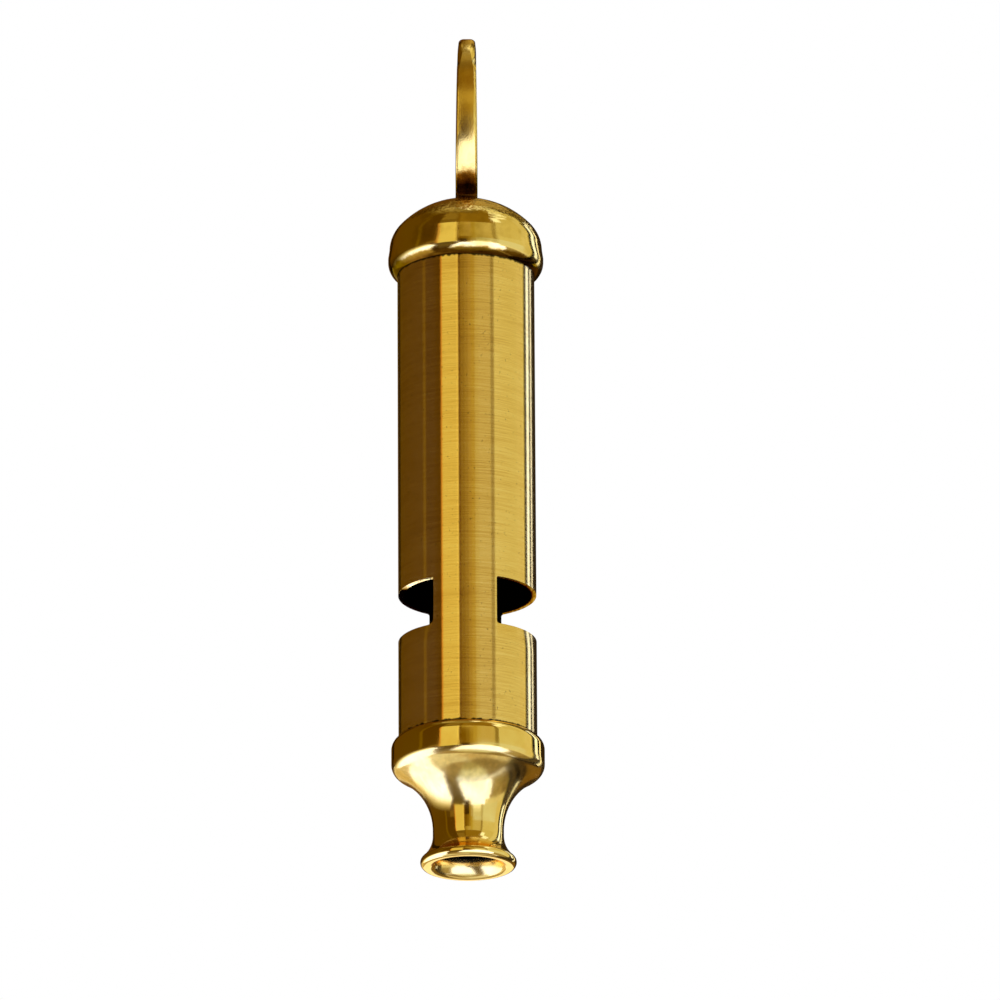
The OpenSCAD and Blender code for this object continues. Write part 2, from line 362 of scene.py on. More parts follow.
rim_turn = edge_angle(rim_x, socket_r, RIM_R)
rim_z = CAP_Z + RIM_R * math.sin(math.radians(rim_turn))
bm, tip = pen_down(socket_r, CAP_Z)
tip = pen_arc(bm, tip, rim_x - RIM_R, rim_z, rim_turn, 18)
tip = pen_line(bm, tip, rim_x, CAP_Z + RIM_H)
tip = pen_line(bm, tip, cap_side, corner_z)
tip = pen_arc(bm, tip, cap_side - CORNER_R, corner_z, corner_turn, 10)
tip = pen_arc(bm, tip, 0, dome_z, 90 - corner_turn, 30)
tip = pen_line(bm, tip, 0, CAP_TOP - CAP_WALL)
tip = pen_arc(bm, tip, 0, dome_z, inner_edge - 90, 20)
tip = pen_line(bm, tip, socket_r, CAP_Z)
on_axis = [e for e in bm.edges if all(abs(v.co.x) < SAME for v in e.verts)]
bmesh.ops.delete(bm, geom=on_axis, context="EDGES")
lathe(bm)
cap = to_object(bm, "pressed_cap")
print("the dome's radius is %.2f mm" % dome_out)

# %% The slot in the crown
LOOP_T = 1.25
FOOT_W = 2.15
FOOT_X = 0.1
SLOT_H = 4
slot = ((FOOT_W + 2 * GAP) * MM, 2 * (LOOP_T + GAP) * MM, SLOT_H * MM)
bm = bmesh.new()
bmesh.ops.create_cube(bm, size=1)
bmesh.ops.scale(bm, vec=slot, verts=bm.verts)
bmesh.ops.translate(bm, vec=(FOOT_X * MM, 0, CAP_TOP * MM), verts=bm.verts)
take_out(cap, to_object(bm, "slot_cutter"))
stands_for(cap, "top_cap")

# %% [markdown]
# ## The lanyard loop
# The loop is a flat strip bent round a former, with its two ends side by side in the crown's
# slot. It could be a curve with a bevel, but a strip that is pulled along arcs keeps its thickness
# and its rounded edges, and its arcs have the former's own sizes. So a small rounded section is
# drawn once and spun about one centre after the other, up one side to the top, and mirrored to the
# other side. The strip narrows towards its top, where handling has worn its outer edges rounder.
# It was soldered in by eye, so it stands a tenth of a millimetre off centre and leans a little.

# %% The strip's rounded section
SLIT_HALF = 0.04
EDGE_R = 0.28
LOOP_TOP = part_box("lanyard_loop")[1][2] / MM
TANG_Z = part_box("lanyard_loop")[0][2] / MM

bm = bmesh.new()
bmesh.ops.create_grid(bm, x_segments=1, y_segments=1, size=0.5)
bmesh.ops.scale(bm, vec=(FOOT_W * MM, (LOOP_T - SLIT_HALF) * MM, 1), verts=bm.verts)
bmesh.ops.bevel(bm, geom=bm.verts[:], offset=EDGE_R * MM, segments=5, profile=0.5,
                affect="VERTICES", material=-1)
bmesh.ops.translate(bm, vec=(0, (SLIT_HALF + LOOP_T) / 2 * MM, TANG_Z * MM), verts=bm.verts)
section = bm.faces[:]
print("section of", len(bm.verts), "points")

# %% Pull the section up the foot and round the former
END_R = 4.4
HALF_BREADTH = 5.7
FOOT_H = 0.45
BEND_R = 0.8
half_h = (LOOP_TOP - CAP_TOP - FOOT_H) / 2
mid_z = LOOP_TOP - half_h
rise = half_h - END_R
side_r = (HALF_BREADTH ** 2 + rise ** 2 - END_R ** 2) / (2 * (HALF_BREADTH - END_R))
side_turn = math.degrees(math.atan2(rise, side_r - HALF_BREADTH))
bend_y = LOOP_T + BEND_R
bend_z = mid_z - rise - math.sqrt((END_R + BEND_R) ** 2 - bend_y ** 2)
bend_turn = math.degrees(math.atan2(mid_z - rise - bend_z, bend_y))


def pull_round(faces, y, z, degrees, steps):
    """Spins the section about a centre in the loop's plane and returns the new end."""
    made = bmesh.ops.spin(bm, geom=faces, cent=(0, y * MM, z * MM), axis=(1, 0, 0),
                          angle=math.radians(degrees), steps=steps, use_merge=False)
    return only(bmesh.types.BMFace, made["geom_last"])


made = bmesh.ops.extrude_face_region(bm, geom=section)["geom"]
end = only(bmesh.types.BMFace, made)
bmesh.ops.translate(bm, vec=(0, 0, (bend_z - TANG_Z) * MM), verts=only(bmesh.types.BMVert, made))
end = pull_round(end, bend_y, bend_z, -bend_turn, 10)
end = pull_round(end, 0, mid_z - rise, bend_turn - side_turn, 8)
end = pull_round(end, HALF_BREADTH - side_r, mid_z, 2 * side_turn, 24)
end = pull_round(end, 0, mid_z + rise, 90 - side_turn, 18)
print("the side's former has a radius of %.1f mm" % side_r)

# %% Mirror the strip, which joins only at its top
JOIN_Z = LOOP_TOP - 2
bmesh.ops.delete(bm, geom=end, context="FACES_ONLY")
bmesh.ops.mirror(bm, geom=bm.verts[:] + bm.edges[:] + bm.faces[:], matrix=Matrix.Identity(4),
                 merge_dist=-1, axis="Y")
at_top = [v for v in bm.verts if v.co.z > JOIN_Z * MM]
bmesh.ops.remove_doubles(bm, verts=at_top, dist=NEAR)
bmesh.ops.recalc_face_normals(bm, faces=bm.faces)
print("the loop has", len(bm.verts), "points")

# %% Narrow it, round its crown and set it in the slot
TOP_W = 1.75
CROWN_R = 0.55
CROWN_BLEND = 2
LEAN = 0.45
DROP = 0.01
for v in bm.verts:
    up = max(0, (v.co.z / MM - CAP_TOP) / (LOOP_TOP - CAP_TOP))
    narrower = 1 + (TOP_W / FOOT_W - 1) * up
    v.co.x *= narrower
    above = v.co.z / MM - (mid_z + rise)
    corner = EDGE_R + (CROWN_R - EDGE_R) * max(0, min(1, above / CROWN_BLEND))
    over = math.hypot(v.co.y / MM, above) - (END_R - corner)
    if above > 0 and over > 0:
        inset = corner - math.sqrt(max(0, corner ** 2 - over ** 2))
        most = (FOOT_W / 2 * narrower - inset) * MM
        v.co.x = max(-most, min(most, v.co.x))
turn(bm, bm.verts, LEAN, "Y", centre=(0, 0, CAP_TOP * MM))
bmesh.ops.translate(bm, vec=(FOOT_X * MM, 0, -DROP * MM), verts=bm.verts)
loop = to_object(bm, "bent_loop")
stands_for(loop, "lanyard_loop")

# %% [markdown]
# ## The solder at the loop's foot
# Solder flows into the corner between the crown and the strip and freezes with a hollow, slightly
# uneven face. A ring is drawn with a hollow outline that starts a little under the crown, turned,
# and then pushed in and out a little with waves that never line up. Each wave has its size, its
# count round the ring and its phase.

# %% Draw the solder's hollow outline
SOLDER_R = 1.86
SOLDER_H = 0.32
SOLDER_IN = 0.3
FILLET_W = 0.62
FILLET_STEPS = 8
HOLLOW = 1.7
EDGE_SINK = 0.04
FACE_SINK = 0.01
SEAT_SINK = 0.05


def crown_at(r):
    """Height of the crown's outside at a distance from the axis."""
    return dome_z + math.sqrt(dome_out ** 2 - r ** 2)


bm, tip = pen_down(SOLDER_R, crown_at(SOLDER_R) - EDGE_SINK)
for step in range(1, FILLET_STEPS + 1):
    share = step / FILLET_STEPS
    r = SOLDER_R - FILLET_W * share
    tip = pen_line(bm, tip, r, crown_at(r) + SOLDER_H * share ** HOLLOW - FACE_SINK)
tip = pen_line(bm, tip, SOLDER_IN, crown_at(SOLDER_IN) + SOLDER_H)
tip = pen_line(bm, tip, SOLDER_IN, crown_at(SOLDER_IN) - SEAT_SINK)
tip = pen_line(bm, tip, SOLDER_R, crown_at(SOLDER_R) - SEAT_SINK)
print("the solder's outline has", len(bm.verts), "points")

# %% Turn it and unsettle it
SOLDER_STEPS = 72
WAVES = ((0.025, 3, 0.7), (0.018, 7, 2.1))
CALM_R = 0.5
lathe(bm, SOLDER_STEPS)
for v in bm.verts:
    angle = math.atan2(v.co.y, v.co.x)
    wave = 1 + sum(size * math.sin(count * angle + phase) for size, count, phase in WAVES)
    if math.hypot(v.co.x, v.co.y) > CALM_R * MM:
        v.co.x *= wave
        v.co.y *= wave
solder = to_object(bm, "loop_solder_fillet")
stands_for(solder, "loop_solder")

# %% [markdown]
# ## Brass finishes
# Every finish starts from the same metal, so one helper makes a plain metal shader. Each finish
# then adds what its own surface shows. Values that are the same all over a piece sit on the
# shader's sockets, and only what varies is wired in. Small helpers keep the wiring short enough to
# read, because a finish is mostly a few noises and a few places where one look ends and another
# begins.

# %% A metal shader
def metal(name, colour, roughness, anisotropic=0.0):
    """A metal material and its node tree, shader and texture coordinates."""
    material = bpy.data.materials.new(name)
    material.use_nodes = True
    tree = material.node_tree
    shader = tree.nodes["Principled BSDF"]
    shader.inputs["Metallic"].default_value = 1.0
    shader.inputs["Base Color"].default_value = (*colour, 1)
    shader.inputs["Roughness"].default_value = roughness
    shader.inputs["Anisotropic"].default_value = anisotropic
    shader.inputs["Anisotropic Rotation"].default_value = 0.25
    coords = tree.nodes.new("ShaderNodeTexCoord")
    return material, tree, shader, coords.outputs["Object"]


def feed(tree, socket, value):
    """Wires a socket to another one, or sets it to a plain value."""
    if isinstance(value, bpy.types.NodeSocket):
        tree.links.new(value, socket)
    else:
        socket.default_value = value


def add(tree, kind, **inputs):
    """Adds a node and feeds its named inputs."""
    node = tree.nodes.new(kind)
    for key, value in inputs.items():
        feed(tree, node.inputs[key.replace("_", " ")], value)
    return node


def combine(tree, operation, first, *others):
    """One number from several, where each may be a value or a socket."""
    for other in others:
        node = tree.nodes.new("ShaderNodeMath")
        node.operation = operation
        feed(tree, node.inputs[0], first)
        feed(tree, node.inputs[1], other)
        first = node.outputs["Value"]
    return first


def remainder(tree, share):
    """What is left of 1 once a share is taken away."""
    return combine(tree, "SUBTRACT", 1, share)


# %% Noise, and colours that follow it
EVEN = (1, 1, 1)


def grain(tree, coords, stretch, scale, detail=3.0, rough=0.6):
    """Noise on the piece's own coordinates, stretched per axis."""
    mapping = add(tree, "ShaderNodeMapping", Vector=coords, Scale=stretch)
    noise = add(tree, "ShaderNodeTexNoise", Vector=mapping.outputs["Vector"], Scale=scale,
                Detail=detail, Roughness=rough)
    return noise.outputs["Fac"]


def ramp(tree, fac, stops):
    """A colour ramp from (position, colour) pairs."""
    node = add(tree, "ShaderNodeValToRGB", Fac=fac)
    elements = node.color_ramp.elements
    while len(elements) < len(stops):
        elements.new(0.5)
    for element, (position, colour) in zip(elements, stops):
        element.position = position
        element.color = (*colour, 1)
    return node.outputs["Color"]


def spread(tree, value, low, high, to_low, to_high):
    """Moves a range of values to another range."""
    node = add(tree, "ShaderNodeMapRange", Value=value, From_Min=low, From_Max=high,
               To_Min=to_low, To_Max=to_high)
    return node.outputs["Result"]


def bump(tree, shader, height, strength, depth):
    """Presses a height into the shader's normal, under a bump that is already there."""
    node = add(tree, "ShaderNodeBump", Height=height, Strength=strength, Distance=depth * MM)
    normal = shader.inputs["Normal"]
    if normal.is_linked:
        normal = normal.links[0].from_node.inputs["Normal"]
    tree.links.new(node.outputs["Normal"], normal)


def shaded(tree, colour, light):
    """A colour made darker where light is under 1."""
    node = add(tree, "ShaderNodeVectorMath")
    node.operation = "SCALE"
    tree.links.new(colour, node.inputs[0])
    tree.links.new(light, node.inputs["Scale"])
    return node.outputs["Vector"]


def tinted(tree, colour, tint):
    """A colour multiplied by another one."""
    node = add(tree, "ShaderNodeVectorMath")
    node.operation = "MULTIPLY"
    tree.links.new(colour, node.inputs[0])
    tree.links.new(tint, node.inputs[1])
    return node.outputs["Vector"]


# %% [markdown]
# Many looks depend on a place: how high on the whistle, or how far from its axis. These helpers
# take places in millimetres, as the sizes are. A place can wander with noise, so that a stain gets
# a ragged edge.

# %% Places on a piece
def place_of(tree, coords):
    """The three coordinates by themselves, so that Z is the height."""
    return add(tree, "ShaderNodeSeparateXYZ", Vector=coords).outputs


def radius_of(tree, coords):
    """The distance from the whistle's axis."""
    flat = add(tree, "ShaderNodeMapping", Vector=coords, Scale=(1, 1, 0))
    length = add(tree, "ShaderNodeVectorMath")
    length.operation = "LENGTH"
    tree.links.new(flat.outputs["Vector"], length.inputs[0])
    return length.outputs["Value"]


def fade(tree, place, start, end, at_start, at_end):
    """A value that changes between two places."""
    return spread(tree, place, start * MM, end * MM, at_start, at_end)


def band(tree, place, rise, fall):
    """A mask that fades in between two places and out between two others."""
    return combine(tree, "MULTIPLY", fade(tree, place, *rise, 0, 1), fade(tree, place, *fall, 1, 0))


def wander(tree, place, noise, reach):
    """Moves a place to and fro with noise, by a reach at most."""
    return combine(tree, "ADD", place, spread(tree, noise, 0.3, 0.7, -reach * MM, reach * MM))


BRASS = (0.90, 0.70, 0.32)
BRIGHT = (0.93, 0.76, 0.40)
GRAZING = (1.0, 0.80, 0.45)
print("brass reflects", BRASS, "and turns to", GRAZING, "where it is seen at a grazing angle")

# %% [markdown]
# ### Polished brass
# The mouthpiece, cap and loop are buffed until they mirror the room. What stops them from looking
# like plastic is small: the colour drifts where the metal has started to tarnish, the gloss is
# broken by faint smudges, and hairline scratches cross the surface. A plain metal shader also turns
# white at grazing angles, which brass doesn't, so its tint there is a warm one. One function makes
# the finish, and each piece gets its own copy, because the three weren't buffed alike.

# %% The polished finish
HAIR_DEPTH = 0.02


def polish(piece, name, dull, bright, gloss, scratches):
    """Buffs a piece, given its darker and lighter colour, its roughness and its scratches."""
    material, tree, shader, coords = metal(name, BRASS, gloss[0])
    shader.inputs["Specular Tint"].default_value = (*GRAZING, 1)
    drift = grain(tree, coords, EVEN, scale=260)
    colour = ramp(tree, drift, [(0.3, dull), (0.5, BRASS), (0.75, bright)])
    tree.links.new(colour, shader.inputs["Base Color"])
    smudge = grain(tree, coords, (1, 1, 0.6), scale=420, detail=4)
    rough = spread(tree, smudge, 0.35, 0.7, *gloss)
    tree.links.new(rough, shader.inputs["Roughness"])
    hairs = grain(tree, coords, (9, 9, 1.2), scale=1500, detail=2)
    bump(tree, shader, hairs, scratches, HAIR_DEPTH)
    piece.data.materials.clear()
    piece.data.materials.append(material)
    return tree, shader, coords, colour, rough


print("the finish is ready for", mouthpiece.name, cap.name, "and", loop.name)

# %% [markdown]
# The loop is only rubbed smooth, so it blurs the room, and its foot is painted nearly black as
# shade.

# %% The loop's own finish
tree, shader, coords, colour, _ = polish(
    loop, "rubbed loop", dull=(0.74, 0.50, 0.14), bright=(0.95, 0.74, 0.30),
    gloss=(0.15, 0.27), scratches=0.35)
# Painted shade: the colour turns nearly black towards the loop's foot, with a ragged edge.
foot_shade_noise = grain(tree, coords, EVEN, scale=1400)
height = wander(tree, place_of(tree, coords)["Z"], foot_shade_noise, 0.4)
tint = ramp(tree, fade(tree, height, CAP_TOP + 1.0, CAP_TOP + 2.6, 0, 1), [
    (0.0, (0.07, 0.03, 0.005)), (0.5, (0.35, 0.22, 0.06)), (1.0, (1, 0.95, 0.75))])
tree.links.new(tinted(tree, colour, tint), shader.inputs["Base Color"])
print("the loop is black up to", round(CAP_TOP + 1.0, 1), "mm")

# %% [markdown]
# The cap's rim is painted brown along its lower edge and darker at its left end, as painted
# shade. The crown round the loop's foot is painted darker as shade, and knocks have left shallow
# dents there.

# %% The cap's own finish
DENT_DEPTH = 0.26
tree, shader, coords, colour, _ = polish(
    cap, "polished cap", dull=(0.62, 0.46, 0.15), bright=BRIGHT, gloss=(0.06, 0.16),
    scratches=0.12)
place = place_of(tree, coords)
# Painted shade: the rim's lower edge is painted brown, with a ragged edge.
rim_shade_edge = wander(tree, place["Z"], grain(tree, coords, EVEN, scale=900), 0.12)
tint = ramp(tree, fade(tree, rim_shade_edge, CAP_Z + 0.05, CAP_Z + 0.65, 0, 1), [
    (0.0, (0.12, 0.06, 0.01)), (0.6, (0.28, 0.19, 0.04)), (1.0, (1, 1, 1))])
# Painted shade: the crown is painted darker round the loop's foot.
foot_distance = wander(tree, radius_of(tree, coords), grain(tree, coords, EVEN, scale=1500, detail=2), 0.7)
shade_round_foot = fade(tree, foot_distance, 1.7, 3.0, 0.10, 1)
# Painted shade: the rim's left end is painted darker near its foot.
left_end = fade(tree, place["X"], -6.6, -5.0, 0.65, 0)
rim_foot = fade(tree, place["Z"], CAP_Z + 0.6, CAP_Z + 1.1, 1, 0)
left_rim_shade = combine(tree, "MULTIPLY", left_end, rim_foot)
light = combine(tree, "MULTIPLY", shade_round_foot, remainder(tree, left_rim_shade))
tree.links.new(shaded(tree, tinted(tree, colour, tint), light), shader.inputs["Base Color"])
crown = fade(tree, place["Z"], CAP_TOP - 4.0, CAP_TOP - 2.6, 0, 1)
dents = combine(tree, "MULTIPLY", grain(tree, coords, EVEN, scale=800, detail=4), crown)
bump(tree, shader, dents, 1.0, DENT_DEPTH)
print("the crown's dents are up to", DENT_DEPTH, "mm deep")

# %% [markdown]
# The mouthpiece differs in four places. The buffing wheel can't reach far into the flare, which
# stays a little rougher and keeps faint streaks there, nor round the funnel. The throat is painted
# nearly black as shade, and the lip's underside is painted a little darker as shade.

# %% The mouthpiece's own finish
FLARE_BLUR = 0.10
FUNNEL_BLUR = 0.12
tree, shader, coords, colour, rough = polish(
    mouthpiece, "polished mouthpiece", dull=(0.86, 0.62, 0.24), bright=BRIGHT,
    gloss=(0.05, 0.12), scratches=0.05)
height = place_of(tree, coords)["Z"]
radius = radius_of(tree, coords)
flare = band(tree, height, (4.5, 6.5), (9.8, 11.0))
funnel = combine(tree, "MULTIPLY", fade(tree, radius, 3.50, 3.85, 1, 0),
                 fade(tree, height, 2.1, 2.3, 1, 0))
softer = combine(tree, "ADD", combine(tree, "MULTIPLY", flare, FLARE_BLUR),
                 combine(tree, "MULTIPLY", funnel, FUNNEL_BLUR))
tree.links.new(combine(tree, "ADD", rough, softer), shader.inputs["Roughness"])
# Painted shade: the throat is painted nearly black.
throat_shade = combine(tree, "MULTIPLY", fade(tree, radius, 3.00, 3.12, 1, 0),
                 fade(tree, height, 1.7, 1.85, 0, 0.97))
# Painted shade: the lip's underside is painted a little darker.
underside_shade = fade(tree, height, 0.03, 0.12, 0.58, 1)
wiped = spread(tree, grain(tree, coords, (2.5, 2.5, 0.5), scale=600), 0.40, 0.62, 0.16, 0)
streaks = combine(tree, "MULTIPLY", wiped, band(tree, height, (5.2, 7.2), (9.0, 10.0)))
light = combine(tree, "MULTIPLY", remainder(tree, throat_shade), underside_shade, remainder(tree, streaks))
tree.links.new(shaded(tree, colour, light), shader.inputs["Base Color"])
print("the mouthpiece has", len(tree.nodes), "nodes in its finish")

# %% [markdown]
# ### Satin brass
# The tube was finished on the lathe with fine abrasive, which leaves rings round it. Rings that are
# far finer than a pixel can't be drawn one by one: they show as a highlight that is sharp across
# the tube and drawn out along it, which is what an anisotropic shader with a tangent round the
# axis gives. Coarser rings and short nicks are drawn on top as colour and bump. A ragged dark line
# of painted shade lies in the seams under the cap and over the skirt, and the inside is painted
# black as shade.

# %% The satin finish
SATIN = (0.87, 0.64, 0.27)
RING_DEPTH = 0.02
satin, tree, shader, coords = metal("satin brass", SATIN, 0.13, anisotropic=1.0)
tangent = add(tree, "ShaderNodeTangent")
tangent.direction_type = "RADIAL"
tangent.axis = "Z"
tree.links.new(tangent.outputs["Tangent"], shader.inputs["Tangent"])
rings = grain(tree, coords, (0.25, 0.25, 14), scale=900, detail=5, rough=0.75)
broad = grain(tree, coords, (0.6, 0.6, 3), scale=170)
both = combine(tree, "ADD", combine(tree, "MULTIPLY", rings, 0.7),
               combine(tree, "MULTIPLY", broad, 0.3))
colour = ramp(tree, both, [(0.30, (0.66, 0.43, 0.13)), (0.5, SATIN), (0.71, (0.96, 0.78, 0.42))])
tree.links.new(spread(tree, rings, 0.3, 0.7, 0.10, 0.17), shader.inputs["Roughness"])
turned = grain(tree, coords, (0.03, 0.03, 14), scale=900, rough=0.5)
bump(tree, shader, turned, 0.12, RING_DEPTH)
barrel.data.materials.append(satin)
print("satin brass reflects", SATIN)

# %% Its painted shade in the seams and the bore, and its nicks
SEAM_SHADE = 0.93
ragged = grain(tree, coords, (1, 1, 0.2), scale=1800)
seam = wander(tree, place_of(tree, coords)["Z"], ragged, 0.12)
# Painted shade: dark lines in the seams under the cap and over the skirt.
shade_under_cap = fade(tree, seam, CAP_Z - 0.22, CAP_Z - 0.08, 0, SEAM_SHADE)
shade_over_skirt = fade(tree, seam, SKIRT_TOP + 0.05, SKIRT_TOP + 0.15, SEAM_SHADE, 0)
# Painted shade: the bore is painted black.
bore = fade(tree, radius_of(tree, coords), bore_r + 0.05, bore_r + 0.10, 0.97, 0)
nicks = spread(tree, grain(tree, coords, (1, 1, 0.7), scale=4200, detail=2), 0.66, 0.72, 0, 0.4)
dark = combine(tree, "MAXIMUM", shade_under_cap, shade_over_skirt, bore, nicks)
tree.links.new(shaded(tree, colour, remainder(tree, dark)), shader.inputs["Base Color"])
print("the bore is dark inside a radius of", round(bore_r + 0.10, 2), "mm")

# %% [markdown]
# The sawn faces over the windows look down, and what they mirror lies behind the whistle. Their
# light is painted into their colour. The right window's face is gold and painted lighter towards
# the back. The left one is painted nearly black as shade, but for a painted highlight at the near
# end of its arc. Both have painted shade along the bore.

# %% The sawn faces of the windows
SAWN = (0.74, 0.56, 0.27)
STROKE_DEPTH = 0.04
sawn, tree, shader, coords = metal("sawn brass", SAWN, 0.24)
strokes = grain(tree, coords, (6, 1, 6), scale=1100)
colour = ramp(tree, strokes, [(0.35, (0.42, 0.27, 0.10)), (0.55, SAWN), (0.7, (0.88, 0.72, 0.40))])
place = place_of(tree, coords)
# Painted light and shade: the right face is painted lighter towards the back, the left one nearly
# black.
right = fade(tree, place["X"], -1, 1, 0, 1)
left = remainder(tree, right)
# Painted highlight at the near end of the left window's arc.
near_left_highlight = combine(tree, "MULTIPLY", left, fade(tree, place["Y"], -3.4, -2.0, 1, 0))
right_light = combine(tree, "MULTIPLY", right, fade(tree, place["Y"], -3, 1, 0.3, 0.75))
left_light = combine(tree, "MULTIPLY", left, 0.03)
# Painted shade along the bore.
bore_edge_shade = fade(tree, radius_of(tree, coords), bore_r + 0.05, bore_r + 0.25, 0.08, 1)
light = combine(tree, "MULTIPLY", combine(tree, "ADD", right_light, left_light), bore_edge_shade)
light = combine(tree, "MAXIMUM", light, combine(tree, "MULTIPLY", near_left_highlight, 1.5))
tree.links.new(shaded(tree, colour, light), shader.inputs["Base Color"])
# Painted highlight: the tint at grazing angles turns white at the near end of the left arc.
grazing = ramp(tree, near_left_highlight, [(0.0, (0.30, 0.18, 0.06)), (1.0, (1, 0.95, 0.8))])
tree.links.new(grazing, shader.inputs["Specular Tint"])
tree.links.new(spread(tree, near_left_highlight, 0, 1, 0.26, 0.12), shader.inputs["Roughness"])
bump(tree, shader, strokes, 0.25, STROKE_DEPTH)
barrel.data.materials.append(sawn)
print("the barrel's finishes:", [m.name for m in barrel.data.materials])

# %% [markdown]
# ### Inner brass and solder
# Inside the tube the blocks, the plate and the stops are painted dark as shade, and they stay dull.
# The solder is a paler metal, with small pits where flux boiled out; the pits are painted dark as
# shade and the high spots pale as painted glints.

# %% The inner finish
# Painted shade: the pieces inside the tube are painted nearly black.
INNER_SHADE = (0.10, 0.06, 0.025)
STAIN_DEPTH = 0.05
INNER_NODES = ("right_windway_block", "left_windway_block", "divider_plate", "low_note_stop",
               "high_note_stop")
inner, tree, shader, coords = metal("inner brass", INNER_SHADE, 0.5)
stain = grain(tree, coords, EVEN, scale=300, detail=4)
colour = ramp(tree, stain, [(0.3, (0.05, 0.03, 0.012)), (0.55, INNER_SHADE), (0.8, (0.18, 0.11, 0.05))])
tree.links.new(colour, shader.inputs["Base Color"])
tree.links.new(spread(tree, stain, 0.3, 0.7, 0.42, 0.62), shader.inputs["Roughness"])
bump(tree, shader, stain, 0.3, STAIN_DEPTH)
for node in INNER_NODES:
    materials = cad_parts[node].data.materials
    materials.clear()
    materials.append(inner)
print(len(INNER_NODES), "inner pieces stay dark")

# %% The solder
PIT_DEPTH = 0.25
soldered, tree, shader, coords = metal("bright solder", (0.62, 0.50, 0.26), 0.16)
pits = grain(tree, coords, EVEN, scale=2200, rough=0.7)
# Painted shade and glints: the pits are painted nearly black and the high spots pale.
colour = ramp(tree, pits, [
    (0.40, (0.05, 0.03, 0.01)), (0.52, (0.55, 0.42, 0.18)), (0.66, (0.9, 0.8, 0.5))])
tree.links.new(colour, shader.inputs["Base Color"])
bump(tree, shader, pits, 0.9, PIT_DEPTH)
solder.data.materials.clear()
solder.data.materials.append(soldered)
print("materials:", [m.name for m in bpy.data.materials])

# %% [markdown]
# ## The studio
# Polished metal has hardly any look of its own: it shows the room. The photograph was taken
# against white, with a dark side to the left, a tan strip beside the camera and soft gold light to
# the right. The room here is a white world at a plain level and a few boards round the whistle.
# A board is a patch of a large sphere, drawn as an arc and spun, so that it is placed by the two
# angles at which the metal sees it. Azimuth 0 is towards the viewer, and it grows to the right.
# Elevation 0 is level with the whistle, and it grows upwards.

# %% Boards on a sphere round the whistle
ROOM_R = 1.2
ROOM_Z = 0.04
ARC_STEPS = 12
STEP_TURN = 6


def board(name, from_az, to_az, from_el, to_el, material):
    """A patch of the room's sphere that only reflections see."""
    bm = bmesh.new()
    start = bm.verts.new((0, -ROOM_R, 0))
    breadth = to_az - from_az
    turn(bm, [start], -from_el, "X")
    bmesh.ops.spin(bm, geom=[start], cent=(0, 0, 0), axis=(-1, 0, 0),
                   angle=math.radians(to_el - from_el), steps=ARC_STEPS, use_merge=False)
    turn(bm, bm.verts, from_az, "Z")
    bmesh.ops.spin(bm, geom=bm.verts[:] + bm.edges[:], cent=(0, 0, 0), axis=(0, 0, 1),
                   angle=math.radians(breadth), steps=max(2, int(breadth / STEP_TURN)),
                   use_merge=False)
    bmesh.ops.translate(bm, vec=(0, 0, ROOM_Z), verts=bm.verts)
    made = to_object(bm, name)
    made.data.materials.append(material)
    made.visible_camera = False
    made.visible_diffuse = False
    made.visible_shadow = False


def glow(name, colour):
    """A board's even light."""
    material = bpy.data.materials.new(name)
    material.use_nodes = True
    tree = material.node_tree
    tree.nodes.clear()
    light = add(tree, "ShaderNodeEmission", Color=(*colour, 1), Strength=1.0)
    out = tree.nodes.new("ShaderNodeOutputMaterial")
    tree.links.new(light.outputs["Emission"], out.inputs["Surface"])
    return material


def hang(name, patches):
    """Hangs boards, each from its azimuths, its elevations and its light."""
    for number, (*angles, light) in enumerate(patches):
        board("%s_%d" % (name, number), *angles, glow("%s %d" % (name, number), light))
    print(name, "has", len(patches), "boards")


# %% [markdown]
# The angles and lights below were set one by one, by asking for each streak in the photograph
# which part of the room the metal mirrors there. The walls reach up to one height, and edges that
# several boards share have a name: the tan strip with its red and its bright edge, the camera's own
# dark stand, and the place on the right where the gold wall ends and the strips begin.

# %% The dark side on the left, which ends in the tan strip
WALL_TOP = 62
TAN_TOP = 33.5
LEVEL = -2
FOOT = -12
TAN_FROM = -42.6
TAN_CLEAR = -40.4
TAN_BRIGHT = -15.4
TAN_TO = -12.6
STAND = -9.4
SHADE = (0.13, 0.09, 0.02)
hang("board_left", [
    (-180, -160, LEVEL, WALL_TOP, (0.14, 0.07, 0.01)),
    (-160, -146.5, LEVEL, WALL_TOP, (0.02, 0.01, 0.0)),
    (-146.5, -77, LEVEL, WALL_TOP, (0.12, 0.06, 0.0)),
    (-77, -71.5, LEVEL, WALL_TOP, (0.19, 0.11, 0.0)),
    (-71.5, TAN_FROM, 8, WALL_TOP, (0.105, 0.05, 0.0)),
    (-71.5, -58, LEVEL, 8, (0.12, 0.065, 0.005)),
    (-58, TAN_FROM, LEVEL, 8, (0.22, 0.13, 0.015)),
    (TAN_FROM, TAN_CLEAR, FOOT, TAN_TOP, (0.85, 0.38, 0.05)),
    (TAN_FROM, TAN_CLEAR, TAN_TOP, 45, (0.20, 0.11, 0.01)),
    (TAN_CLEAR, TAN_BRIGHT, FOOT, TAN_TOP, (0.84, 0.69, 0.19)),
    (TAN_CLEAR, TAN_BRIGHT, TAN_TOP, 45, (0.20, 0.12, 0.01)),
    (TAN_FROM, TAN_BRIGHT, 45, WALL_TOP, (0.27, 0.17, 0.02)),
    (TAN_BRIGHT, TAN_TO, FOOT, TAN_TOP, (1.0, 0.80, 0.22)),
    (TAN_BRIGHT, TAN_TO, TAN_TOP, WALL_TOP, (0.22, 0.13, 0.01)),
    (TAN_TO, STAND, FOOT, WALL_TOP, (0.17, 0.08, 0.0)),
    (TAN_FROM, TAN_BRIGHT, -14, FOOT, SHADE)])

